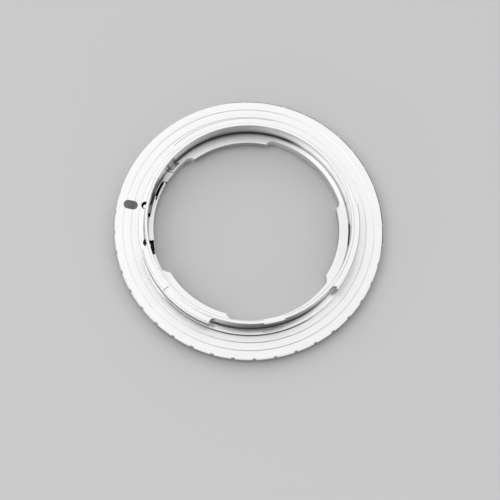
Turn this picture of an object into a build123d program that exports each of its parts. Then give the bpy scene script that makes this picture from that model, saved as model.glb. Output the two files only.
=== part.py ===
from build123d import *
import os
from math import asin, cos, degrees, radians, sin

# Lens mount adapter: one turned and milled metal ring with a bayonet on each side,
# and a sprung pin, riveted to a bent leaf in a pocket of the ring, that locks the lens.
# Millimetres and degrees. The axis is Z, the lens seats on the face at Z = 0 and the camera is towards +Z.
# Angles run anticlockwise seen from the camera side. The lock is on the -X side, beside the index mark.

# Throat, with the ledge and the lens-side lugs
THROAT_DIAMETER = 46.4
LEDGE_WIDTH = 1.4
LEDGE_RISE = 0.1
LENS_LUG_DEPTH = 1.2
LENS_LUG_SPANS = ((90.2, 138.0), (222.5, 266.5), (339.2, 384.3))
LENS_CUTTER_RADIUS = 1.8
THROAT_RELIEF_SPAN = (204.0, 219.0)
THROAT_RELIEF_DEPTH = 0.35

# Collar
COLLAR_WALL = 0.7
COLLAR_HEIGHT = 5.4
TURNED_EDGE_BREAK = 0.1
FOOT_RELIEF_WIDTH = 0.35
FOOT_RELIEF_DEPTH = 0.2
RIM_PAD_SPAN = (289.0, 300.5)
RIM_PAD_PROUD = 0.25
RIM_PAD_HEIGHT = 1.0

# Camera-side lugs, outside the collar
CAMERA_LUG_DEPTH = 1.45
CAMERA_LUG_THICKNESS = 1.7
CAMERA_LUG_DROP = 0.45
CAMERA_LUG_CHAMFER = 0.25
CAMERA_LUG_SPANS = ((88.5, 145.0), (206.2, 259.8), (334.2, 382.0))
CAMERA_CUTTER_RADIUS = 1.2
WITNESS_LINE_ANGLE = 231.0
WITNESS_LINE_SIZE = 0.22

# Register land that centres the ring in the camera's throat, and the flange with its two turned lines
REGISTER_WIDTH = 1.55
REGISTER_HEIGHT = 0.9
FLANGE_WIDTH = 5.9
FLANGE_THICKNESS = 2.5
FLANGE_EDGE_BREAK = 0.2
LINE_INSETS = (2.19, 4.15)
LINE_WIDTH = 0.2
LINE_DEPTH = 0.05

# Small grip notches across the rim, cut little deeper than its edge break
NOTCH_COUNT = 40
NOTCH_WIDTH = 0.8
NOTCH_DEPTH = 0.26

# Index mark on the flange
INDEX_ANGLE = 180.0
INDEX_INSET = 3.45
INDEX_LENGTH = 3.5
INDEX_WIDTH = 2.2
INDEX_DEPTH = 0.25
INDEX_FILL = 0.18

# Lock pin and the hole above it
PIN_ANGLE = 179.4
LOCK_OFFSET = 0.4
LOCK_HOLE_DIAMETER = 2.0
LOCK_HOLE_BREAKOUT = 0.15
PIN_DIAMETER = 1.5
PIN_REACH = 0.8
PIN_GUIDE_CLEARANCE = 0.2
TENON_DIAMETER = 0.8
PIN_HEAD_DIAMETER = 1.3
PIN_HEAD_DROP = 0.9
HEAD_ROUNDING = 0.2

# Anchor rivet at the leaf's foot
LEAF_SPAN = 21.3
ANCHOR_OFFSET = -0.7
ANCHOR_DIAMETER = 0.9
RIVET_HEAD_DIAMETER = 1.5
RIVET_HEAD_HEIGHT = 0.4
COUNTERSINK_DIAMETER = 1.8
SEAT_CLEARANCE = 0.02

# Spring leaf: pads, arm, and a release tab whose edges run parallel to X
LEAF_THICKNESS = 0.35
LEAF_WIDTH = 1.5
LEAF_PAD_DIAMETER = 1.8
EAR_HALF_SPAN = 2.2
ARM_WIDTH = 0.3
ARM_GAP = 0.1
ARM_RISE_SETBACK = 0.23
ARM_RISE_LENGTH = 2.8
TAB_OFFSET = 7.4
TAB_WIDTH = 2.7
TAB_REACH = 0.2
TAB_CORNER_RADIUS = 0.7

# Pocket, grooves and openings in the ring for the lock
POCKET_FLOOR = 0.7
POCKET_ROOF = 0.3
POCKET_ROOM = 0.15
POCKET_END_ROOM = 0.7
UNDERCUT_DEPTH = 0.35
UNDERCUT_ROOF = 0.2
SLIT_WIDTH = 0.4
SLIT_PAST_PIN = 5.1
GROOVE_WIDTH = 0.7
GROOVE_SHORT_OF_PIN = 7.4
SHELF_WIDTH = 0.4
SHELF_DROP = 0.35
NICK_WIDTH = 0.35
NICK_LENGTH = 2.1
TAB_CLEARANCE = 0.2
NOOK_RIB = 0.35
NOOK_LENGTH = 2.25
NOOK_FLOOR = 1.3
GUARD_RIM = 0.35
WINDOW_BEFORE_ANCHOR = 1.5
WINDOW_PAST_ANCHOR = 7.2

# Length by which a cutting tool runs past the face that it leaves
OVERRUN = 1.0

# Radii, from the throat outwards
throat_radius = THROAT_DIAMETER / 2
lens_lug_radius = throat_radius - LENS_LUG_DEPTH
collar_inner = throat_radius + LEDGE_WIDTH
collar_outer = collar_inner + COLLAR_WALL
camera_lug_radius = collar_outer + CAMERA_LUG_DEPTH
register_radius = collar_outer + REGISTER_WIDTH
flange_radius = register_radius + FLANGE_WIDTH
lock_radius = collar_outer + LOCK_OFFSET
anchor_radius = lock_radius + ANCHOR_OFFSET
slit_inner = collar_inner - SLIT_WIDTH
groove_inner = collar_inner - GROOVE_WIDTH

# Heights, from the lens seat up
ledge_top = FLANGE_THICKNESS + LEDGE_RISE
register_top = FLANGE_THICKNESS + REGISTER_HEIGHT
collar_top = FLANGE_THICKNESS + COLLAR_HEIGHT
camera_lug_top = collar_top - CAMERA_LUG_DROP
camera_lug_bottom = camera_lug_top - CAMERA_LUG_THICKNESS
pocket_top = FLANGE_THICKNESS - POCKET_ROOF
leaf_top = POCKET_FLOOR + LEAF_THICKNESS
pin_top = register_top - PIN_HEAD_DROP
tab_bottom = ledge_top - LEAF_THICKNESS

# Places of the lock's pieces
anchor_angle = PIN_ANGLE + LEAF_SPAN
groove_end = PIN_ANGLE - GROOVE_SHORT_OF_PIN
slit_end = PIN_ANGLE + SLIT_PAST_PIN
tab_far_side = TAB_OFFSET + TAB_WIDTH
bay_near_side = TAB_OFFSET - TAB_CLEARANCE
bay_far_side = tab_far_side + TAB_CLEARANCE
bay_angle = 180 - degrees(asin(TAB_OFFSET / collar_inner))


def polar(radius, angle):
    """Point at a radius and an angle about the ring's axis."""
    return (radius * cos(radians(angle)), radius * sin(radians(angle)))


def sector(inner, outer, start, end):
    """Flat ring segment between two radii and two angles."""
    span = end - start
    return make_face([
        CenterArc((0, 0), inner, start, span),
        Line(polar(inner, end), polar(outer, end)),
        CenterArc((0, 0), outer, start, span),
        Line(polar(outer, start), polar(inner, start)),
    ])


def band(inner, outer, near_side, far_side):
    """The part of a ring on the -X side that lies between two lines parallel to X."""
    stretch = Pos(-outer / 2, (near_side + far_side) / 2) * Rectangle(outer, far_side - near_side)
    return stretch & (Circle(outer) - Circle(inner))


def raised(plan, bottom, top):
    """Solid with a flat plan, between two heights."""
    return extrude(Pos(0, 0, bottom) * plan, top - bottom)


def upright(radius, angle, diameter, bottom, top):
    """Upright cylinder at a place on the ring, between two heights."""
    return raised(Pos(*polar(radius, angle)) * Circle(diameter / 2), bottom, top)


def ring_blank():
    """The turned blank: flange, register land, collar relieved on both sides of its foot, and lug rings."""
    edge = FLANGE_EDGE_BREAK
    turned = TURNED_EDGE_BREAK
    face = FLANGE_THICKNESS
    section = [(lens_lug_radius, 0), (flange_radius - edge, 0), (flange_radius, edge)]
    section += [(flange_radius, face - edge), (flange_radius - edge, face)]
    for inset in LINE_INSETS:
        line = flange_radius - inset
        section += [(line + LINE_WIDTH / 2, face), (line, face - LINE_DEPTH), (line - LINE_WIDTH / 2, face)]
    section += [(register_radius, face), (register_radius, register_top - turned)]
    section += [(register_radius - turned, register_top), (collar_outer + FOOT_RELIEF_WIDTH, register_top)]
    section += [(collar_outer, register_top - FOOT_RELIEF_DEPTH), (collar_outer, camera_lug_bottom)]
    section += [(camera_lug_radius, camera_lug_bottom)]
    section += [(camera_lug_radius, camera_lug_top - CAMERA_LUG_CHAMFER)]
    section += [(camera_lug_radius - CAMERA_LUG_CHAMFER, camera_lug_top), (collar_outer, camera_lug_top)]
    section += [(collar_outer, collar_top - turned), (collar_outer - turned, collar_top)]
    section += [(collar_inner + turned, collar_top), (collar_inner, collar_top - turned)]
    section += [(collar_inner, ledge_top - FOOT_RELIEF_DEPTH), (collar_inner - FOOT_RELIEF_WIDTH, ledge_top)]
    section += [(lens_lug_radius + turned, ledge_top)]
    section += [(lens_lug_radius, ledge_top - turned)]
    return revolve(Plane.XZ * make_face(Polyline(*section, close=True)), Axis.Z)


def gaps_between(spans):
    """The angles left open between lugs that have these spans."""
    starts = [start for start, end in spans]
    following = starts[1:] + [starts[0] + 360]
    return [(end, after) for (start, end), after in zip(spans, following)]


def camera_gap(start, end):
    """Cut that parts two outer lugs, with the cutter's radius left against the collar."""
    plan = sector(collar_outer, camera_lug_radius + OVERRUN, start, end)
    corners = plan.vertices().sort_by(lambda corner: corner.X**2 + corner.Y**2)[:2]
    return raised(fillet(corners, CAMERA_CUTTER_RADIUS), register_top, camera_lug_top + OVERRUN)


def lens_gap(start, end):
    """Cut that parts two inner lugs, with the cutter's radius left against the throat."""
    plan = sector(lens_lug_radius - OVERRUN, throat_radius, start, end)
    corners = plan.vertices().sort_by(lambda corner: corner.X**2 + corner.Y**2)[2:]
    return raised(fillet(corners, LENS_CUTTER_RADIUS), -OVERRUN, ledge_top + OVERRUN)


def throat_relief():
    """Shallow relief in the throat between the lock's window and the next inner lug."""
    plan = sector(lens_lug_radius, throat_radius + THROAT_RELIEF_DEPTH, *THROAT_RELIEF_SPAN)
    return raised(plan, -OVERRUN, ledge_top + OVERRUN)


def rim_notches():
    """Round cuts across the rim, with the index midway between two of them."""
    cutter_radius = (NOTCH_WIDTH**2 / 4 + NOTCH_DEPTH**2) / (2 * NOTCH_DEPTH)
    cutter_circle = flange_radius - NOTCH_DEPTH + cutter_radius
    pitch = 360 / NOTCH_COUNT
    top = FLANGE_THICKNESS + OVERRUN
    cuts = []
    for count in range(NOTCH_COUNT):
        angle = INDEX_ANGLE + (count + 0.5) * pitch
        cuts.append(upright(cutter_circle, angle, 2 * cutter_radius, -OVERRUN, top))
    return cuts


def rim_pad():
    """Short thicker stretch at the collar's rim, on both sides of the wall."""
    inside = sector(collar_inner - RIM_PAD_PROUD, collar_inner + COLLAR_WALL / 2, *RIM_PAD_SPAN)
    outside = sector(collar_outer - COLLAR_WALL / 2, collar_outer + RIM_PAD_PROUD, *RIM_PAD_SPAN)
    return raised(inside + outside, collar_top - RIM_PAD_HEIGHT, collar_top)


def witness_line():
    """Fine radial line scribed across one camera-side lug."""
    middle = (collar_outer + camera_lug_radius) / 2
    place = Pos(*polar(middle, WITNESS_LINE_ANGLE), camera_lug_top) * Rot(0, 0, WITNESS_LINE_ANGLE)
    return place * Box(CAMERA_LUG_DEPTH, WITNESS_LINE_SIZE, WITNESS_LINE_SIZE)


def index_plan(inset):
    """Oval of the index mark, drawn in by an inset."""
    place = Pos(*polar(flange_radius - INDEX_INSET, INDEX_ANGLE)) * Rot(0, 0, INDEX_ANGLE)
    return place * SlotOverall(INDEX_LENGTH - 2 * inset, INDEX_WIDTH - 2 * inset)


def tab_cuts():
    """Bay for the release tab, open to the bore, and the closed nook beyond it."""
    nook_start = bay_far_side + NOOK_RIB
    nook_end = nook_start + NOOK_LENGTH
    guard = throat_radius + GUARD_RIM
    bay = band(lens_lug_radius - OVERRUN, collar_inner, bay_near_side, bay_far_side)
    nook = band(guard, collar_inner, nook_start, nook_end)
    return [
        raised(bay, POCKET_FLOOR, ledge_top + OVERRUN),
        raised(nook, NOOK_FLOOR, ledge_top + OVERRUN),
    ]


def arm_cuts():
    """Groove beside the arm with its shelf and nick, slit over the ear, and undercut at the wall's foot."""
    above = ledge_top + OVERRUN
    shelf_inner = groove_inner - SHELF_WIDTH
    nick_end = groove_end + NICK_LENGTH
    undercut_outer = collar_inner + UNDERCUT_DEPTH
    undercut_top = register_top - UNDERCUT_ROOF
    return [
        raised(sector(groove_inner, collar_inner, bay_angle, groove_end), POCKET_FLOOR, above),
        raised(sector(shelf_inner, collar_inner, bay_angle, groove_end), ledge_top - SHELF_DROP, above),
        raised(sector(shelf_inner, shelf_inner + NICK_WIDTH, groove_end, nick_end), POCKET_FLOOR, above),
        raised(sector(slit_inner, collar_inner, groove_end, slit_end), POCKET_FLOOR, above),
        raised(sector(slit_inner, undercut_outer, bay_angle, slit_end), POCKET_FLOOR, undercut_top),
    ]


def pocket_cuts():
    """Pocket under the collar, holes over the pin and the anchor, their seats, and the window."""
    end_room = POCKET_END_ROOM + LEAF_PAD_DIAMETER / 2
    end_angle = degrees(end_room / lock_radius)
    pocket_outer = max(lock_radius, anchor_radius) + LEAF_PAD_DIAMETER / 2 + POCKET_ROOM
    pocket = sector(slit_inner, pocket_outer, PIN_ANGLE - end_angle, anchor_angle + end_angle)
    hole_top = register_top + LOCK_HOLE_BREAKOUT
    guide_diameter = PIN_DIAMETER + 2 * PIN_GUIDE_CLEARANCE
    window_start = anchor_angle - WINDOW_BEFORE_ANCHOR
    window_end = anchor_angle + WINDOW_PAST_ANCHOR
    window = sector(lens_lug_radius - OVERRUN, collar_inner - ARM_GAP, window_start, window_end)
    return [
        raised(pocket, POCKET_FLOOR, pocket_top),
        upright(lock_radius, PIN_ANGLE, LOCK_HOLE_DIAMETER, leaf_top, hole_top),
        upright(anchor_radius, anchor_angle, LOCK_HOLE_DIAMETER, leaf_top, hole_top),
        upright(lock_radius, PIN_ANGLE, guide_diameter, -OVERRUN, leaf_top),
        anchor_shape(SEAT_CLEARANCE, leaf_top),
        raised(window, POCKET_FLOOR, ledge_top + OVERRUN),
    ]


def adapter_ring():
    """The one-piece ring."""
    ring = ring_blank()
    ring -= [camera_gap(start, end) for start, end in gaps_between(CAMERA_LUG_SPANS)]
    ring -= [lens_gap(start, end) for start, end in gaps_between(LENS_LUG_SPANS)]
    ring -= throat_relief()
    ring += rim_pad()
    ring -= rim_notches()
    ring -= witness_line()
    ring -= raised(index_plan(0), FLANGE_THICKNESS - INDEX_DEPTH, FLANGE_THICKNESS + OVERRUN)
    ring -= tab_cuts() + arm_cuts() + pocket_cuts()
    return ring


def tab_plan():
    """Release tab: a tongue parallel to X, its tip a little inside the throat, with one rounded corner."""
    tongue = band(throat_radius - TAB_REACH, collar_inner - ARM_GAP, TAB_OFFSET, tab_far_side)
    near_corners = tongue.vertices().sort_by(Axis.Y)[:2]
    return fillet(near_corners.sort_by(Axis.X)[-1], TAB_CORNER_RADIUS)


def arm_plan():
    """Narrow arm that leads from the tab, inside the collar, to the ear, partly under the collar."""
    middle_angle = (bay_angle + PIN_ANGLE) / 2
    tab_end = collar_inner - ARM_GAP - ARM_WIDTH
    ear_end = slit_inner + ARM_GAP
    edges = []
    for width in (0, ARM_WIDTH):
        start = polar(tab_end + width, bay_angle - EAR_HALF_SPAN)
        middle = polar((tab_end + ear_end) / 2 + width, middle_angle)
        end = polar(ear_end + width, PIN_ANGLE)
        edges.append(ThreePointArc(start, middle, end))
    inner, outer = edges
    return make_face([inner, Line(inner @ 1, outer @ 1), outer, Line(outer @ 0, inner @ 0)])


def leaf_plan():
    """The leaf seen along the axis: foot, leaf, ear, arm and tab, with a hole for each rivet."""
    half_width = LEAF_WIDTH / 2
    ear = sector(slit_inner + ARM_GAP, lock_radius, PIN_ANGLE - EAR_HALF_SPAN, PIN_ANGLE + EAR_HALF_SPAN)
    plan = sector(lock_radius - half_width, lock_radius + half_width, PIN_ANGLE, anchor_angle)
    plan = plan + ear + arm_plan() + tab_plan()
    rivets = ((lock_radius, PIN_ANGLE, TENON_DIAMETER), (anchor_radius, anchor_angle, ANCHOR_DIAMETER))
    for radius, angle, diameter in rivets:
        plan += Pos(*polar(radius, angle)) * Circle(LEAF_PAD_DIAMETER / 2)
    for radius, angle, diameter in rivets:
        plan -= Pos(*polar(radius, angle)) * Circle(diameter / 2 + SEAT_CLEARANCE)
    return plan


def lock_spring():
    """The leaf: its plan, cut out of a strip that is bent along lines parallel to X."""
    pad_edge = polar(lock_radius, PIN_ANGLE)[1] + LEAF_PAD_DIAMETER / 2
    rise_end = -pad_edge - ARM_RISE_SETBACK
    rise_start = rise_end - ARM_RISE_LENGTH
    strip = make_face(Polyline(
        (-flange_radius, tab_bottom),
        (rise_start, tab_bottom),
        (rise_end, POCKET_FLOOR),
        (flange_radius, POCKET_FLOOR),
        (flange_radius, leaf_top),
        (rise_end, leaf_top),
        (rise_start, ledge_top),
        (-flange_radius, ledge_top),
        close=True,
    ))
    side_on = Plane((0, 0, 0), x_dir=(0, -1, 0), z_dir=(-1, 0, 0))
    return extrude(side_on * strip, flange_radius) & raised(leaf_plan(), 0, collar_top)


def riveted_head(radius, angle, shank_diameter, head_diameter, top):
    """Rounded head on top of the leaf, with the shank that passes through it."""
    head = upright(radius, angle, head_diameter, leaf_top, top)
    rim = head.edges().group_by(Axis.Z)[-1]
    return fillet(rim, HEAD_ROUNDING) + upright(radius, angle, shank_diameter, POCKET_FLOOR, leaf_top)


def lock_pin():
    """The pin: a shank that stands out of the lens seat, a tenon in the leaf's ear, and a head."""
    shank = upright(lock_radius, PIN_ANGLE, PIN_DIAMETER, -PIN_REACH, POCKET_FLOOR)
    tip = shank.edges().group_by(Axis.Z)[0]
    head = riveted_head(lock_radius, PIN_ANGLE, TENON_DIAMETER, PIN_HEAD_DIAMETER, pin_top)
    return chamfer(tip, PIN_DIAMETER / 6) + head


def anchor_shape(clearance, top):
    """Countersunk head flush with the lens seat, and its shank, both grown by a clearance."""
    sink = (COUNTERSINK_DIAMETER - ANCHOR_DIAMETER) / 2
    seated = (Align.CENTER, Align.CENTER, Align.MIN)
    wide = COUNTERSINK_DIAMETER / 2 + clearance
    narrow = ANCHOR_DIAMETER / 2 + clearance
    cone = Pos(*polar(anchor_radius, anchor_angle)) * Cone(wide, narrow, sink, align=seated)
    return cone + upright(anchor_radius, anchor_angle, 2 * narrow, 0, top)


def anchor_rivet():
    """The rivet that holds the leaf's foot down on the pocket's floor."""
    top = leaf_top + RIVET_HEAD_HEIGHT
    head = riveted_head(anchor_radius, anchor_angle, ANCHOR_DIAMETER, RIVET_HEAD_DIAMETER, top)
    return anchor_shape(0, POCKET_FLOOR) + head


def index_mark():
    """Paint that fills most of the index dimple."""
    bottom = FLANGE_THICKNESS - INDEX_DEPTH
    return raised(index_plan(SEAT_CLEARANCE), bottom, bottom + INDEX_FILL)


PIECES = {
    "adapter_ring": adapter_ring,
    "lock_spring": lock_spring,
    "lock_pin": lock_pin,
    "anchor_rivet": anchor_rivet,
    "index_mark": index_mark,
}

os.makedirs("parts", exist_ok=True)
for node, make in PIECES.items():
    export_step(make(), f"parts/{node}.step")
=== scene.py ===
# %% [markdown]
# # A lens mount adapter, dressed for its portrait
# The part is a flat turned ring that joins a lens to a camera: a notched flange, a thin collar, three bayonet lugs
# on each side, and a small sprung pin that locks the lens. The solid pieces come from CAD as a fixed frame, already
# in place and in metres, so nothing here moves them. Blender adds the finishes, the bent leaf, the small riveted
# pieces, the light and the camera.

# %% Load the frame and keep its box
import functools
import operator

import bpy
import numpy as np
from mathutils import Matrix, Vector


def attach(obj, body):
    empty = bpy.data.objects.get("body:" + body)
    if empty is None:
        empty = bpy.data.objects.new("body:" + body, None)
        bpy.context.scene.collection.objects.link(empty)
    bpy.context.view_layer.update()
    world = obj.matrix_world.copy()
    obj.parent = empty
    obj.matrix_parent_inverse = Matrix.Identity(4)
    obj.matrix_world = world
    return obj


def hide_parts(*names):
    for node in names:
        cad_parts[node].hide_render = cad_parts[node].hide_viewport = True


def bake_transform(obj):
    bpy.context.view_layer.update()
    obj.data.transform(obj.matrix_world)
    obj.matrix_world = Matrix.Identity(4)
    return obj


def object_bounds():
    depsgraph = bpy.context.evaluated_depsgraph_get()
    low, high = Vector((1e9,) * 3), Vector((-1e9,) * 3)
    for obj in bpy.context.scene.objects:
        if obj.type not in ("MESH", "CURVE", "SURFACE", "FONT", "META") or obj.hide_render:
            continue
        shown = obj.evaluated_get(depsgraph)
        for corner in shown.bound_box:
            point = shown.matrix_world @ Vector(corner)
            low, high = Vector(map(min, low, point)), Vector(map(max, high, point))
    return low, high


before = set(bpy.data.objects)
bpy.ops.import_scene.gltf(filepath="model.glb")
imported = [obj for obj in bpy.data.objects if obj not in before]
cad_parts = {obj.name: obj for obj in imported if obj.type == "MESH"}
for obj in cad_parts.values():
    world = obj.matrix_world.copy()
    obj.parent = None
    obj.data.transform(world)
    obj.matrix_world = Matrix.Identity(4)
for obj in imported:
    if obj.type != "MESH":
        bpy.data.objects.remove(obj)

scene = bpy.context.scene
scene.view_settings.view_transform = "Standard"
MM = 0.001
cad_box = [list(corner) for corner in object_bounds()]
print("CAD nodes:", ", ".join(sorted(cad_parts)))
print("CAD box in mm:", [[round(v / MM, 2) for v in corner] for corner in cad_box])

# %% [markdown]
# ## The camera
# The ring was photographed from high above, a little turned. A camera can be placed by hand until the picture fits,
# but here the fitted angles are written down: how far round, how high, how much the camera was rolled, and which
# pixel shows the centre of the flange. The camera is aimed beside the ring by that pixel, so it needs no lens shift.

# %% Place the camera
FLANGE_TOP = 2.5
AZIMUTH, ELEVATION, ROLL = np.radians([3.71, 73.12, 7.76])
DISTANCE, LENS, SENSOR, FRAME_SIDE = 481.4, 142.51, 36.0, 500
CENTRE_PIXEL, CLIP_RANGE = np.array([248.76, 228.25]), (0.01, 20)

ring_centre = np.array([0, 0, FLANGE_TOP])
flat_part = np.array([np.sin(AZIMUTH), -np.cos(AZIMUTH), 0]) * np.cos(ELEVATION)
to_camera = flat_part + (0, 0, np.sin(ELEVATION))
sideways = np.array([np.cos(AZIMUTH), np.sin(AZIMUTH), 0])
rise = np.cross(to_camera, sideways)
image_right = sideways * np.cos(ROLL) + rise * np.sin(ROLL)
image_up = rise * np.cos(ROLL) - sideways * np.sin(ROLL)
mm_per_pixel = DISTANCE / (LENS / SENSOR * FRAME_SIDE)
offset = (FRAME_SIDE / 2 - CENTRE_PIXEL) * mm_per_pixel
eye = ring_centre + to_camera * DISTANCE
back = eye - (ring_centre + image_right * offset[0] - image_up * offset[1])
back /= np.linalg.norm(back)
image_right = np.cross(image_up, back)
image_right /= np.linalg.norm(image_right)
image_up = np.cross(back, image_right)

camera = bpy.data.objects.new("camera", bpy.data.cameras.new("camera"))
camera.data.lens, camera.data.sensor_width = LENS, SENSOR
camera.data.clip_start, camera.data.clip_end = CLIP_RANGE
pose = np.eye(4)
pose[:3, :3] = np.column_stack([image_right, image_up, back])
pose[:3, 3] = eye * MM
camera.matrix_world = Matrix(pose.tolist())
scene.collection.objects.link(camera)
scene.camera = camera
print("camera at", (eye * MM).round(4).tolist(), "with a", LENS, "mm lens")

# %% [markdown]
# ## Shader maths
# A finish is a sum over the place on the surface. Wiring Math nodes by hand hides the sum, so a small class wraps a
# socket and lets Python's own operators add the nodes.


# %% A socket that can be added, multiplied and compared
class Wire:
    """An output in a node tree. An operator on it adds the Math node for that operator."""

    def __init__(self, socket):
        self.socket = socket
        self.tree = socket.id_data

    def node(self, kind, settings=None, sockets=None, out=0):
        """Adds any node: its type, its settings, set first, its sockets' values or wires, and the output to take."""
        made = self.tree.nodes.new(kind)
        for name, value in (settings or {}).items():
            setattr(made, name, value)
        named = sockets.items() if isinstance(sockets, dict) else enumerate(sockets or ())
        for name, value in named:
            if isinstance(value, Wire):
                self.tree.links.new(value.socket, made.inputs[name])
            else:
                made.inputs[name].default_value = value
        return Wire(made.outputs[out])

    def math(self, operation, *values):
        """A Math node on these values, in this order."""
        return self.node("ShaderNodeMath", {"operation": operation}, values)

    def __add__(self, other):
        return self.math("ADD", self, other)

    def __sub__(self, other):
        return self.math("SUBTRACT", self, other)

    def __rsub__(self, other):
        return self.math("SUBTRACT", other, self)

    def __mul__(self, other):
        return self.math("MULTIPLY", self, other)

    def __truediv__(self, other):
        return self.math("DIVIDE", self, other)

    def __pow__(self, other):
        return self.math("POWER", self, other)

    def __abs__(self):
        return self.math("ABSOLUTE", self)

    def __or__(self, other):
        return self.math("MAXIMUM", self, other)

    __radd__, __rmul__ = __add__, __mul__

    def above(self, start, end):
        """Smooth step from 0 at start to 1 at end."""
        return self.node("ShaderNodeMapRange", {"interpolation_type": "SMOOTHSTEP"},
                         {"Value": self, "From Min": start, "From Max": end})

    def between(self, low, high, soft):
        """1 from low to high, falling to 0 over a soft margin outside."""
        return self.above(low - soft, low) * (1 - self.above(high, high + soft))

    def blend(self, plain, marked):
        """Colour that goes from plain to marked with this value."""
        return self.node("ShaderNodeMix", {"data_type": "RGBA"}, {0: self, 6: plain, 7: marked}, out=2)


def new_finish(name):
    """Material with a plain shader: the shader node, and the place on the piece in millimetres as a wire."""
    finish = bpy.data.materials.new(name)
    finish.use_nodes = True
    tree = finish.node_tree
    shader = tree.nodes["Principled BSDF"]
    place = Wire(tree.nodes.new("ShaderNodeTexCoord").outputs["Object"])
    place = place.node("ShaderNodeVectorMath", {"operation": "SCALE"}, {"Vector": place, "Scale": 1 / MM})
    return finish, shader, place


def feed(shader, **wires):
    """Links wires to the shader's sockets, whose names are written with _ for a space."""
    for name, wire in wires.items():
        wire.tree.links.new(wire.socket, shader.inputs[name.replace("_", " ")])


def grey(level):
    """A neutral colour."""
    return (level, level, level, 1)


def noise(place, scale, detail, roughness=0.6):
    """Noise over the place on a piece."""
    return place.node("ShaderNodeTexNoise", None,
                      {"Vector": place, "Scale": scale, "Detail": detail, "Roughness": roughness})


print("shader maths ready:", [name for name in vars(Wire) if not name.startswith("__")])

# %% [markdown]
# ## The floor and the light
# Bright metal shows mostly what stands round it, so it is lit as in a light tent: a pale surround, brightest overhead
# and behind, a glow low in front, one large soft lamp to the left, and one dark patch above the camera's right
# shoulder. The near edges mirror the glow, so they stay bright beside the rim's notches. Upright walls mirror the
# dark patch after a bounce on the flange, so the collar reads dark. Cards and lamps could make the tent, but a
# surround worked out from the direction alone needs none and hides nothing from other viewpoints.

# %% Pale floor
FLOOR_SIDE, FLOOR_LEVEL, FLOOR_ROUGHNESS, FLOOR_SPECULAR = 6.0, 0.64, 0.9, 0.1


def add_mesh(name, points, faces, smooth_below=None):
    """An object at the origin whose mesh has these points, in metres, and faces. Edges under an angle are smooth."""
    mesh = bpy.data.meshes.new(name)
    mesh.from_pydata(np.reshape(points, (-1, 3)).tolist(), [], faces)
    if smooth_below is not None:
        mesh.shade_smooth()
        mesh.set_sharp_from_angle(angle=np.radians(smooth_below))
    thing = bpy.data.objects.new(name, mesh)
    scene.collection.objects.link(thing)
    print(name, "has", len(mesh.polygons), "faces")
    return thing


lowest = cad_box[0][2]
corners = FLOOR_SIDE / 2 * np.array([(-1, -1, 0), (1, -1, 0), (1, 1, 0), (-1, 1, 0)]) + (0, 0, lowest)
floor = add_mesh("floor", corners, [(0, 1, 2, 3)])
floor_paper, paper_shader, spot = new_finish("floor_paper")
paper_shader.inputs["Base Color"].default_value = grey(FLOOR_LEVEL)
paper_shader.inputs["Roughness"].default_value = FLOOR_ROUGHNESS
paper_shader.inputs["Specular IOR Level"].default_value = FLOOR_SPECULAR
floor.data.materials.append(floor_paper)

# %% Surround with a bright top, a low glow in front and one dark patch
OVERHEAD, TOP_SIDE, RIGHT_SIDE, DARK_SIDE, FRONT_SIDE = (0, 90), (100, 76), (5, 25), (-62, 65), (-86, 0)
LOW_LEVEL, TOP_GAIN, RIGHT_GAIN, FRONT_GAIN, DARK_SHARE = 0.46, 0.7, 0.05, 0.5, 0.97
TOP_EDGE, RIGHT_EDGE, DARK_EDGE = (0.1, 0.92), (0.6, 0.95), (0.86, 0.955)
FRONT_EDGE, HORIZON_EDGE = (-0.1, 0.4), (0.3, 0.45)


def heading(bearing, height):
    """Unit vector at a bearing anticlockwise from +X and a height above the horizon, in degrees."""
    b, h = np.radians([bearing, height])
    return np.array([np.cos(b) * np.cos(h), np.sin(b) * np.cos(h), np.sin(h)])


def towards(side):
    """Cosine of the angle between the outward direction and a side of the surround."""
    return outward.node("ShaderNodeVectorMath", {"operation": "DOT_PRODUCT"},
                        [outward, tuple(heading(*side))], out="Value")


scene.world = bpy.data.worlds.new("surround")
scene.world.use_nodes = True
background = scene.world.node_tree.nodes["Background"]
outward = Wire(scene.world.node_tree.nodes.new("ShaderNodeTexCoord").outputs["Generated"])
top_light = TOP_GAIN * towards(TOP_SIDE).above(*TOP_EDGE)
right_light = RIGHT_GAIN * towards(RIGHT_SIDE).above(*RIGHT_EDGE)
near_horizon = 1 - towards(OVERHEAD).above(*HORIZON_EDGE)
front_light = FRONT_GAIN * near_horizon * towards(FRONT_SIDE).above(*FRONT_EDGE)
all_light = LOW_LEVEL + top_light + right_light + front_light
feed(background, Strength=all_light * (1 - DARK_SHARE * towards(DARK_SIDE).above(*DARK_EDGE)))
background.inputs["Color"].default_value = grey(1)
print("surround from", LOW_LEVEL, "low behind to", LOW_LEVEL + FRONT_GAIN, "low in front")
print("and up to", LOW_LEVEL + TOP_GAIN, "overhead")

# %% Soft lamp
KEY_SIDE, KEY_DISTANCE, KEY_SIZE, KEY_WATTS = (208, 60), 0.75, 0.45, 0.75

key_light = bpy.data.lights.new("key_light", "AREA")
key_light.shape, key_light.size, key_light.energy = "SQUARE", KEY_SIZE, KEY_WATTS
key = bpy.data.objects.new("key_light", key_light)
key.location = heading(*KEY_SIDE) * KEY_DISTANCE
key.rotation_euler = Vector(heading(*KEY_SIDE)).to_track_quat("Z", "Y").to_euler()
scene.collection.objects.link(key)
print("lamp of", KEY_WATTS, "W at", key.location.to_tuple(2))
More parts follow.
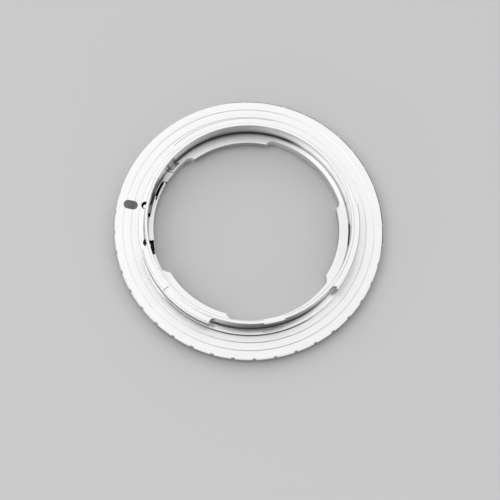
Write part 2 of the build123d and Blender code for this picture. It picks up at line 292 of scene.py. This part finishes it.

# %% [markdown]
# ## Plated metal
# The ring was turned on a lathe and plated, so each face carries fine rings that follow the tool. On flat faces they
# lie at equal radius, on walls at equal height, so one noise that runs along radius plus height marks both. A second
# noise, stretched round the axis, gives short arcs where the faces rubbed. The milled recesses of the lock are
# painted near black as deep shade, painted shade darkens corners, walls and rim edges, and a dark witness line
# crosses one lug.
# These could be painted by hand, but a mask made from the place on the ring, as spans of bearing, radius and height,
# says where they are and needs no picture.

# %% Where a point lies on the ring
plating, plating_shader, spot = new_finish("ring_plating")
axes = spot.node("ShaderNodeSeparateXYZ", None, {"Vector": spot})
x, y, z = (Wire(axes.socket.node.outputs[name]) for name in "XYZ")
radius = (x * x + y * y) ** 0.5
bearing = (-1 * y).math("ARCTAN2", -1 * y, -1 * x) * np.degrees(1)
tool_path = radius + z


def turned_marks(per_mm, detail):
    """Noise along the tool's path, the same all the way round."""
    return tool_path.node("ShaderNodeTexNoise", {"noise_dimensions": "1D"},
                          {"W": tool_path, "Scale": per_mm, "Detail": detail, "Roughness": 0.6})


def zone(bearings=None, radii=None, heights=None):
    """1 inside spans of bearing, radius and height. A span is its two ends and the soft margin outside them."""
    spans = ((bearing, bearings), (radius, radii), (z, heights))
    return functools.reduce(operator.mul, [wire.between(*span) for wire, span in spans if span])


def column(at, reach, soft=0.05):
    """1 within a reach of the upright line at a radius and angle."""
    centre = at[0] * heading(at[1], 0)
    across, along = x - centre[0], y - centre[1]
    return 1 - (across * across + along * along).above(reach ** 2, (reach + soft) ** 2)


print("ring coordinates: radius, bearing from -X, height")

# %% Painted shade in the recesses of the lock
PIN_AT, FOOT_AT, HOLE_RADIUS = (25.7, 179.4), (25.0, 200.7), 1.03

# The lock's pocket, slit, lip, nick and both holes are painted near black as deep shade.
pocket = zone(bearings=(-25.2, 28.0, 0.3), radii=(23.32, 27.3, 0.05), heights=(0.3, 2.2, 0.08))
slit = zone(bearings=(-19.0, 4.6, 1.0), radii=(24.12, 25.0, 0.04), heights=(0.3, 3.22, 0.03))
lip = zone(bearings=(-17.0, -8.4, 0.4), radii=(23.7, 23.95, 0.06), heights=(2.0, 2.3, 0.03))
nick = zone(bearings=(-8.1, -5.8, 0.1), radii=(23.48, 23.87, 0.02), heights=(0.3, 2.56, 0.02))
holes = (column(PIN_AT, HOLE_RADIUS) | column(FOOT_AT, HOLE_RADIUS)) * zone(heights=(0.3, 3.3, 0.05))
recess_shade = pocket | slit | holes | nick | lip
print("recess mask ready")

# %% Painted shade in corners and on walls
COLLAR_INSIDE, FOOT_REACH, NO_LIMIT = 24.6, (0.1, 1.1), 100

outwards, upwards = radius - COLLAR_INSIDE, z - FLANGE_TOP
from_corner = (outwards * outwards + upwards * upwards) ** 0.5
far_left, near_right = zone(bearings=(-100, -30, 15)), zone(bearings=(78, 130, 20))
right_gap = zone(bearings=(-177, -167, 3))
# These masks place painted shade: in the corners at the collar's feet, on the ledge by the far-left wall, on the near
# land wall, on the lens lugs' inner wall, on the lock's wall, by the shelf's step and in the nook.
inner_foot = zone(radii=(24.28, 24.63, 0.03), heights=(2.35, 2.6, 0.03))
outer_foot = zone(radii=(25.27, 25.64, 0.03), heights=(3.15, 3.4, 0.03))
land_wall = zone(bearings=(58, 128, 12), radii=(26.8, 27.0, 0.03), heights=(2.45, 3.2, 0.05))
lug_wall = zone(radii=(21.8, 22.06, 0.03), heights=(0.1, 2.4, 0.08))
lock_wall = zone(bearings=(-20, 2, 3), radii=(24.5, 24.66, 0.02), heights=(-NO_LIMIT, 3.2, 3.8))
shelf_corner = zone(bearings=(-17.5, -8.0, 0.3), radii=(23.5, 23.6, 0.02), heights=(2.2, 2.5, 0.02))
nook = y.between(10.5, 13.0, 0.05) * zone(radii=(23.5, 24.7, 0.03), heights=(1.2, 2.4, 0.1))
nook_end = y.between(10.6, 11.3, 0.1)
print("corner and wall masks ready")

# %% Painted shade on the rims and in the notches, a dark line on the collar's edge, and the witness line
NOTCH_PITCH, NOTCH_SIDES, NEAR_SIDE = 9, (0.1, 0.085), (4.0, 0.0)
WITNESS_ANGLE, WITNESS_SIDES = 231, (0.2, 0.1)

# These masks place a faint dark line on the collar's top edge, a painted dark reflection on the far rim's edge, a
# painted shadow on the near rim side, painted shade in the near notches, and the real dark witness line across one
# lug.
collar_edge = zone(radii=(25.19, 25.33, 0.02), heights=(7.8, NO_LIMIT, 0.1))
far_rim = zone(bearings=(-175, -75, 8), radii=(32.58, NO_LIMIT, 0.08), heights=(2.28, NO_LIMIT, 0.08))
rim_side = zone(bearings=(62, 156, 8), radii=(32.6, NO_LIMIT, 0.1), heights=(-NO_LIMIT, 1.5, 0.5))
pitches = bearing / NOTCH_PITCH
from_notch = abs(pitches.math("FRACT", pitches) - 0.5)
notch = from_notch.above(*NOTCH_SIDES) * zone(radii=(32.46, NO_LIMIT, 0.06)) * y.above(*NEAR_SIDE)
line = heading(WITNESS_ANGLE, 0)
witness = abs(x * line[1] - y * line[0]).above(*WITNESS_SIDES)
witness = witness * zone(bearings=(45, 57, 2), radii=(25.3, 26.8, 0.05), heights=(7.0, 7.42, 0.02))
print("edge masks ready")

# %% How dark each patch of painted shade and each mark is
# All patches are painted shade, except the witness line and the faint line on the collar's top edge.
patches = [
    (0.2 + 0.3 * far_left + 0.7 * right_gap) * inner_foot,
    (0.2 + 0.45 * near_right) * outer_foot,
    0.66 * far_left * (1 - from_corner.above(*FOOT_REACH)),
    0.6 * land_wall,
    0.5 * lug_wall,
    0.75 * lock_wall,
    0.7 * shelf_corner,
    (0.35 + 0.5 * nook_end) * nook,
    0.1 * collar_edge,
    0.85 * far_rim,
    0.55 * rim_side,
    0.4 * notch,
    0.6 * witness,
]
shade_and_marks = functools.reduce(operator.or_, patches)
print(len(patches), "patches of grime")

# %% Finish of the ring
# The second tone is painted shade and the dark of the witness line; the third is painted shade in the lock's
# recesses.
CLEAN, SHADE_AND_MARK_TONE, RECESS_SHADE_TONE = (grey(0.83), grey(0.9)), grey(0.05), grey(0.025)
RUB_LENGTH, RUB_PER_MM, RUB_SHARE = (1.5, 1.5, 3.0), 6, (0.58, 0.7)
FLATNESS, RELIEF_STRENGTH, RELIEF_DEPTH = (0.7, 0.95), 0.12, 0.00002

fine_marks, broad_marks = turned_marks(per_mm=9.0, detail=2.0), turned_marks(per_mm=1.6, detail=1.0)
around = [RUB_LENGTH[0] * x / radius, RUB_LENGTH[1] * y / radius, RUB_LENGTH[2] * z]
around = spot.node("ShaderNodeCombineXYZ", None, around)
rubbing = around.node("ShaderNodeTexNoise", {"noise_dimensions": "4D"},
                      {"Vector": around, "W": RUB_PER_MM * radius, "Scale": 1.0, "Detail": 2.0, "Roughness": 0.6})
arcs = rubbing.above(*RUB_SHARE)
handling = noise(spot, scale=0.35, detail=4.0)
normal = Wire(spot.tree.nodes["Texture Coordinate"].outputs["Normal"])
facing = abs(normal.node("ShaderNodeSeparateXYZ", None, [normal], out="Z"))
land = zone(radii=(25.3, 26.9, 0.03), heights=(3.3, 3.5, 0.03))
satin = facing.above(*FLATNESS) * (1 - 0.8 * land)
shine = 0.12 + 0.10 * fine_marks + 0.06 * broad_marks + 0.05 * handling + 0.16 * satin + 0.08 * arcs
bright = (0.55 * fine_marks + 0.45 * broad_marks - 0.7 * arcs).blend(*CLEAN)
# Painted shade and the witness line darken the plating, and the lock's recesses are painted near black as deep shade.
tone = recess_shade.blend(shade_and_marks.blend(bright, SHADE_AND_MARK_TONE), RECESS_SHADE_TONE)
relief = fine_marks.node("ShaderNodeBump", None,
                         {"Strength": RELIEF_STRENGTH, "Distance": RELIEF_DEPTH, "Height": fine_marks})
feed(plating_shader, Base_Color=tone, Roughness=shine + 0.35 * recess_shade, Normal=relief)
plating_shader.inputs["Metallic"].default_value = 1.0


def dress(thing, finish):
    """Gives an object one material."""
    thing.data.materials.clear()
    thing.data.materials.append(finish)


dress(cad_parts["adapter_ring"], plating)
print("ring_plating has", len(plating.node_tree.nodes), "nodes")

# %% [markdown]
# ## The bent leaf
# The lock's spring is one strip: a riveted foot, a leaf, an ear that carries the pin, a narrow arm and a tab for the
# finger. Its plan has one stretch of metal along each ray from the ring's axis, so the strip is a grid: rays one way,
# and a small rounded section the other way. It bends at rest where the arm climbs.

# %% Plan of the leaf along each ray
LEAF_RAYS, RAY_MARGIN, PAD_RADIUS = 640, 1e-3, 0.9
STRIP_INNER, STRIP_OUTER = 24.95, 26.45
EAR_INNER, EAR_SPAN = 24.3, (177.2, 181.6)
ARM_INNER, ARM_SPAN, ARM_WIDTH = (24.2, 24.3), (160.3, 179.4), 0.3
TAB_SIDES, TAB_TIP, TAB_CORNER, TAB_BEFORE, WALL_SIDE = (7.4, 10.1), 23.0, 0.7, 163, 24.5


def within(angle, span, inner, outer):
    """A stretch of metal between two radii, for the rays in a span of angles."""
    inside = (angle >= span[0]) & (angle <= span[1])
    return np.where(inside, inner, np.nan), np.where(inside, outer, np.nan)


def round_cut(angle, centre, size):
    """Where rays cross a disc: R cos d -+ sqrt(size^2 - R^2 sin^2 d), with d the angle from the disc's middle."""
    off = np.radians(angle - centre[1])
    chord = size ** 2 - (centre[0] * np.sin(off)) ** 2
    half_chord = np.sqrt(np.where(chord >= 0, chord, np.nan))
    return centre[0] * np.cos(off) - half_chord, centre[0] * np.cos(off) + half_chord


def tab_cut(angle):
    """Where rays cross the tab, a tongue between two lines parallel to X. Its tip is round the ring's axis, and a
    small circle that touches both the tip and the nearer line rounds one corner."""
    sine = np.sin(np.radians(angle))
    inner = np.maximum(TAB_SIDES[0] / sine, TAB_TIP)
    out_to = TAB_TIP + TAB_CORNER
    at = (out_to, 180 - np.degrees(np.arcsin((TAB_SIDES[0] + TAB_CORNER) / out_to)))
    on_line = 180 - np.degrees(np.arctan2(TAB_SIDES[0], -at[0] * np.cos(np.radians(at[1]))))
    rounded = (angle > at[1]) & (angle < on_line)
    inner = np.where(rounded, round_cut(angle, at, TAB_CORNER)[0], inner)
    outer = np.minimum(WALL_SIDE, TAB_SIDES[1] / sine)
    metal = (outer >= inner) & (angle < TAB_BEFORE)
    return np.where(metal, inner, np.nan), np.where(metal, outer, np.nan)


foot_end = FOOT_AT[1] + np.degrees(np.arcsin(PAD_RADIUS / FOOT_AT[0]))
tab_end = 180 - np.degrees(np.arcsin(TAB_SIDES[1] / TAB_TIP))
rays = np.linspace(foot_end - RAY_MARGIN, tab_end + RAY_MARGIN, LEAF_RAYS)
arm_share = np.clip((rays - ARM_SPAN[0]) / (ARM_SPAN[1] - ARM_SPAN[0]), 0, 1)
arm_inner = ARM_INNER[0] + (ARM_INNER[1] - ARM_INNER[0]) * arm_share
stretches = [
    within(rays, (PIN_AT[1], FOOT_AT[1]), STRIP_INNER, STRIP_OUTER),
    within(rays, EAR_SPAN, EAR_INNER, PIN_AT[0]),
    within(rays, ARM_SPAN, arm_inner, arm_inner + ARM_WIDTH),
    round_cut(rays, PIN_AT, PAD_RADIUS),
    round_cut(rays, FOOT_AT, PAD_RADIUS),
    tab_cut(rays),
]
leaf_inner = np.fmin.reduce([inner for inner, outer in stretches])
leaf_outer = np.fmax.reduce([outer for inner, outer in stretches])
print("leaf from", rays[0].round(2), "to", rays[-1].round(2), "degrees")
print("leaf at its widest", (leaf_outer - leaf_inner).max().round(2), "mm")

# %% Section of the leaf, carried along the rays
LEAF_FLOOR, LEAF_THICKNESS, LEAF_EDGE, EDGE_STEPS = 0.7, 0.35, 0.06, 5
CLIMB_FROM, CLIMB_TO, CLIMB_HEIGHT, CLIMB_EASE = 1.4, 4.2, 1.55, 0.04


def climb(across):
    """Height gained along Y: a straight ramp whose two bends are eased, (|t| - |t - 1| + 1) / 2 with |t| rounded."""
    t = (across - CLIMB_FROM) / (CLIMB_TO - CLIMB_FROM)
    return CLIMB_HEIGHT * (np.hypot(t, CLIMB_EASE) - np.hypot(t - 1, CLIMB_EASE) + 1) / 2


def loop_faces(rows, around):
    """Quads of a grid that closes round its section, with a flat cap at each end."""
    row, step = np.meshgrid(np.arange(rows - 1), np.arange(around), indexing="ij")
    near, far = row * around, (row + 1) * around
    ahead = (step + 1) % around
    quads = np.stack([near + step, near + ahead, far + ahead, far + step], axis=-1).reshape(-1, 4)
    return quads.tolist() + [list(range(around))[::-1], list(range((rows - 1) * around, rows * around))]


def leaf_section():
    """A rectangle with rounded corners: four quarter circles, as share of the half width and half thickness."""
    quarter = np.linspace(0, np.pi / 2, EDGE_STEPS)
    sweep = np.concatenate([quarter + k * np.pi / 2 for k in range(4)])
    signs = np.repeat([(1, 1), (-1, 1), (-1, -1), (1, -1)], EDGE_STEPS, axis=0)
    return signs, np.column_stack([np.cos(sweep), np.sin(sweep)])


signs, bead = leaf_section()
half_width = (leaf_outer - leaf_inner)[:, None] / 2
edge = np.minimum(LEAF_EDGE, half_width)
reach = (leaf_outer + leaf_inner)[:, None] / 2 + signs[:, 0] * (half_width - edge) + edge * bead[:, 0]
lift = LEAF_THICKNESS / 2 + signs[:, 1] * (LEAF_THICKNESS / 2 - LEAF_EDGE) + LEAF_EDGE * bead[:, 1]
ray = np.radians(rays)[:, None]
leaf_x, leaf_y = reach * np.cos(ray), reach * np.sin(ray)
leaf_z = LEAF_FLOOR + lift + climb(leaf_y)
leaf_points = np.stack([leaf_x, leaf_y, leaf_z], axis=-1) * MM
lock_leaf = add_mesh("lock_leaf", leaf_points, loop_faces(LEAF_RAYS, len(bead)), smooth_below=50)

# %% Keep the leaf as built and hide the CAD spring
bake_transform(lock_leaf)
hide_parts("lock_spring")

# %% [markdown]
# ## Spring steel
# Rolled strip has faint lines along its length and a slightly darker face than the plating. The lines could be a
# picture, but a noise stretched along the strip needs none.

# %% Finish of the leaf
LINES_PER_MM = (14.0, 1.2, 14.0)

steel, steel_shader, spot = new_finish("spring_steel")
stretched = spot.node("ShaderNodeMapping", None, {"Vector": spot, "Scale": LINES_PER_MM})
lines = noise(stretched, scale=1.0, detail=3.0)
feed(steel_shader, Base_Color=lines.blend(grey(0.66), grey(0.84)), Roughness=0.36 + 0.2 * lines)
steel_shader.inputs["Metallic"].default_value = 1.0
dress(lock_leaf, steel)
print("spring_steel has", len(steel.node_tree.nodes), "nodes")

# %% [markdown]
# ## Pin and rivet
# Both are turned from rod. The pin stands out of the lens side, passes through the leaf and ends in a plain head that
# shows in the hole beside the index mark. The rivet is upset over the leaf's foot, which leaves a low head with the
# mark of the punch in its middle. A profile carried round an upright line gives both.

# %% Turned pieces
ROUND_STEPS, EDGE_ROUND_STEPS, FACE_STEPS = 64, 8, 12
LEAF_TOP, AXIS_HOLE, PUNCH_WIDTH = 1.05, 0.004, 0.16


def rounded_head(size, top, rounding, crown, punch):
    """Profile of a head from the leaf up: a wall, a quarter circle, and a face that rises by a crown to the axis, as
    1 - s^2 over the share s of its radius, less a bell exp(-(r / w)^2) of width w for the mark of a punch."""
    swing = np.linspace(0, np.pi / 2, EDGE_ROUND_STEPS)
    inset, brow = size - rounding, top - crown - rounding
    shoulder = np.column_stack([inset + rounding * np.cos(swing), brow + rounding * np.sin(swing)])
    out = np.linspace(inset, AXIS_HOLE, FACE_STEPS + 1)[1:]
    dent = punch * np.exp(-(out / PUNCH_WIDTH) ** 2)
    face = np.column_stack([out, top - crown * (out / inset) ** 2 - dent])
    return [(size, LEAF_TOP)] + shoulder.tolist() + face.tolist()


def turned_piece(name, at, profile):
    """Profile of radius and height, from the bottom up, carried round the upright line at a radius and angle."""
    profile = np.array(profile)
    swing = np.linspace(0, 2 * np.pi, ROUND_STEPS, endpoint=False)
    middle = at[0] * heading(at[1], 0)
    px = middle[0] + np.outer(profile[:, 0], np.cos(swing))
    py = middle[1] + np.outer(profile[:, 0], np.sin(swing))
    pz = np.repeat(profile[:, 1:], ROUND_STEPS, axis=1)
    points = np.stack([px, py, pz], axis=-1) * MM
    return add_mesh(name, points, loop_faces(len(profile), ROUND_STEPS), smooth_below=35)


pin_shank = [(AXIS_HOLE, -0.8), (0.5, -0.8), (0.75, -0.55), (0.75, 0.7), (0.4, 0.7), (0.4, LEAF_TOP)]
pin_head = rounded_head(size=0.65, top=2.5, rounding=0.15, crown=0.03, punch=0.0)
pin = turned_piece("pin", PIN_AT, pin_shank + pin_head)
rivet_shank = [(AXIS_HOLE, 0.0), (0.9, 0.0), (0.45, 0.45), (0.45, LEAF_TOP)]
rivet_head = rounded_head(size=0.75, top=1.45, rounding=0.15, crown=0.1, punch=0.07)
rivet = turned_piece("rivet", FOOT_AT, rivet_shank + rivet_head)
for piece, body, node in ((pin, "lock", "lock_pin"), (rivet, "ring", "anchor_rivet")):
    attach(piece, body)
    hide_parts(node)

# %% Finish of the pin and the rivet
polished, polished_shader, spot = new_finish("pin_steel")
swirl = noise(spot, scale=6.0, detail=3.0)
feed(polished_shader, Base_Color=swirl.blend(grey(0.74), grey(0.86)), Roughness=0.1 + 0.16 * swirl)
polished_shader.inputs["Metallic"].default_value = 1.0
dress(pin, polished)
dress(rivet, polished)
print("pin_steel has", len(polished.node_tree.nodes), "nodes")

# %% [markdown]
# ## Index paint
# Dark paint was wiped into the oval dimple. It shrank as it dried, so it is lowest in the middle and climbs the wall
# a little at its edge. A grid from the middle to the oval's edge, down its side and back, makes a closed skin.

# %% Paint in the dimple
INDEX_AT, INDEX_HALF_LENGTH, INDEX_HALF_WIDTH = 29.3, 1.73, 1.08
PAINT_FLOOR, PAINT_MIDDLE, PAINT_EDGE = 2.25, 2.4, 2.46
OVAL_STEPS, PAINT_RINGS, PAINT_CLIMB, MIDDLE_SHARE = 96, 14, 8, 0.01


def oval(turn):
    """Edge of a slot with round ends: where a ray from its middle leaves it."""
    straight = INDEX_HALF_LENGTH - INDEX_HALF_WIDTH
    c, s = np.abs(np.cos(turn)), np.abs(np.sin(turn))
    side = INDEX_HALF_WIDTH / np.maximum(s, 1e-9)
    root = np.sqrt(np.maximum(INDEX_HALF_WIDTH ** 2 - (straight * s) ** 2, 0))
    return np.where(side * c <= straight, side, straight * c + root)


turn = np.linspace(0, 2 * np.pi, OVAL_STEPS, endpoint=False)
share = np.concatenate([np.linspace(MIDDLE_SHARE, 1, PAINT_RINGS), [1, MIDDLE_SHARE]])
paint_height = PAINT_MIDDLE + (PAINT_EDGE - PAINT_MIDDLE) * share ** PAINT_CLIMB
paint_height[-2:] = PAINT_FLOOR
out = np.outer(share, oval(turn))
paint_points = np.stack([-INDEX_AT + out * np.cos(turn), out * np.sin(turn),
                         np.repeat(paint_height[:, None], OVAL_STEPS, axis=1)], axis=-1) * MM
paint_faces = [face[::-1] for face in loop_faces(len(share), OVAL_STEPS)]
index_paint = add_mesh("index_paint", paint_points, paint_faces, smooth_below=50)
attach(index_paint, "ring")
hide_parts("index_mark")

# %% Finish of the paint
DARKEST_AT = 0.4

paint, paint_shader, spot = new_finish("index_paint")
speck = noise(spot, scale=5.0, detail=4.0, roughness=0.7)
along = spot.node("ShaderNodeSeparateXYZ", None, [spot], out="X")
# The paint is darkest a little inward of the oval's middle and lighter towards its ends, with specks over it.
toward_ends = abs(along + INDEX_AT - DARKEST_AT) / INDEX_HALF_LENGTH
paint_tone = (0.5 * speck + 0.5 * toward_ends).blend(grey(0.075), grey(0.19))
feed(paint_shader, Base_Color=paint_tone, Roughness=0.45 + 0.3 * speck)
dress(index_paint, paint)
print("index_paint finish has", len(paint.node_tree.nodes), "nodes")
